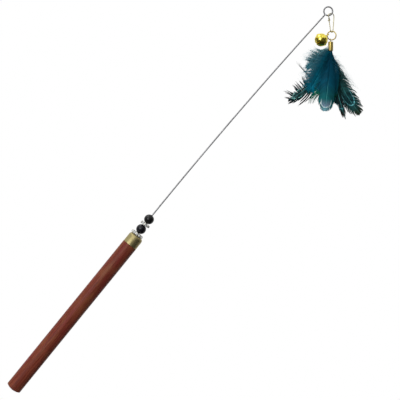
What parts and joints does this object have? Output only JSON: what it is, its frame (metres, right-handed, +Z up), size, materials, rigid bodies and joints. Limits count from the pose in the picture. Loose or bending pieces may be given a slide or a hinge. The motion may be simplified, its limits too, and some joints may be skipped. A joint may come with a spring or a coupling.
{
  "type": "cat teaser wand",
  "caption": "Cat teaser wand: turned wood handle, brass ferrule, beads on a bowed spring wire, and a lure of dyed feathers and a bell that hangs from a wire snap.",
  "frame": {"origin": "middle of the wood handle's length, on its axis, where a hand holds it", "axes": "+Z up with the wand held as pictured; +X level, the way that the wand leans, towards the lure; +Y level, away from the viewer, so that the wand lies in the XZ plane"},
  "size_m": [0.2865, 0.0305, 0.311],
  "materials": {
    "wood": "satin",
    "brass": "polished",
    "steel": "satin",
    "black_bead": "gloss",
    "silver_plate": "polished",
    "crystal": "polished",
    "gold_wire": "polished",
    "gold_bell": "polished",
    "pellet_steel": "satin",
    "glue": "satin",
    "feather": "satin"
  },
  "bodies": {
    "wand": {"handle": "wood", "ferrule": "brass", "spring_wire": "steel", "upper_bead": "black_bead"},
    "lower_spacer": {"lower_rondelle": "silver_plate", "lower_rondelle_stones": "crystal"},
    "loose_bead": {"lower_bead": "black_bead"},
    "upper_spacer": {"upper_rondelle": "silver_plate", "upper_rondelle_stones": "crystal"},
    "snap": {"snap_hook": "gold_wire"},
    "gate": {"snap_gate": "gold_wire"},
    "ring": {"jump_ring": "gold_wire"},
    "bell": {"bell_upper_half": "gold_bell", "bell_lower_half": "gold_bell", "bell_loop": "gold_bell"},
    "pellet": {"bell_pellet": "pellet_steel"},
    "lure": {"crimp_eyelet": "gold_wire", "crimp_cap": "brass", "quill_plug": "glue", "feather_front": "feather", "feather_front_under": "feather", "feather_right_outer": "feather", "feather_right_inner": "feather", "feather_left_long": "feather", "feather_left_plume": "feather", "feather_back_left": "feather", "feather_back_right": "feather", "feather_back": "feather"}
  },
  "joints": [
    {"name": "lower_rondelle_spin", "type": "hinge", "parent": "wand", "child": "lower_spacer", "pos_m": [0.05322, 0, 0.06692], "axis": [0.6307, 0, 0.776], "continuous": true},
    {"name": "lower_bead_spin", "type": "hinge", "parent": "wand", "child": "loose_bead", "pos_m": [0.0564, 0, 0.07083], "axis": [0.6307, 0, 0.776], "continuous": true},
    {"name": "upper_rondelle_spin", "type": "hinge", "parent": "wand", "child": "upper_spacer", "pos_m": [0.05958, 0, 0.07474], "axis": [0.6307, 0, 0.776], "continuous": true},
    {"name": "snap_swing", "type": "hinge", "parent": "wand", "child": "snap", "pos_m": [0.207, 0, 0.24622], "axis": [0, -1, 0], "range_deg": [-5, 90]},
    {"name": "gate_flex", "type": "hinge", "parent": "snap", "child": "gate", "pos_m": [0.20884, 0.00064, 0.23152], "axis": [-0.7071, 0.7071, 0], "range_deg": [0, 10], "stiffness_Nm_per_rad": 0.02},
    {"name": "ring_swing", "type": "hinge", "parent": "snap", "child": "ring", "pos_m": [0.20997, 0.00177, 0.22952], "axis": [0.7071, 0.7071, 0], "range_deg": [-30, 30]},
    {"name": "bell_swing", "type": "hinge", "parent": "ring", "child": "bell", "pos_m": [0.20651, 0.0025, 0.2272], "axis": [-0.3746, 0.9272, 0], "range_deg": [0, 30]},
    {"name": "pellet_roll", "type": "hinge", "parent": "bell", "child": "pellet", "pos_m": [0.20141, 0.00044, 0.2232], "axis": [-0.3746, 0.9272, 0], "continuous": true},
    {"name": "lure_swing", "type": "hinge", "parent": "ring", "child": "lure", "pos_m": [0.20919, 0.00193, 0.22343], "axis": [0.9781, -0.2079, 0], "range_deg": [-30, 30]}
  ]
}
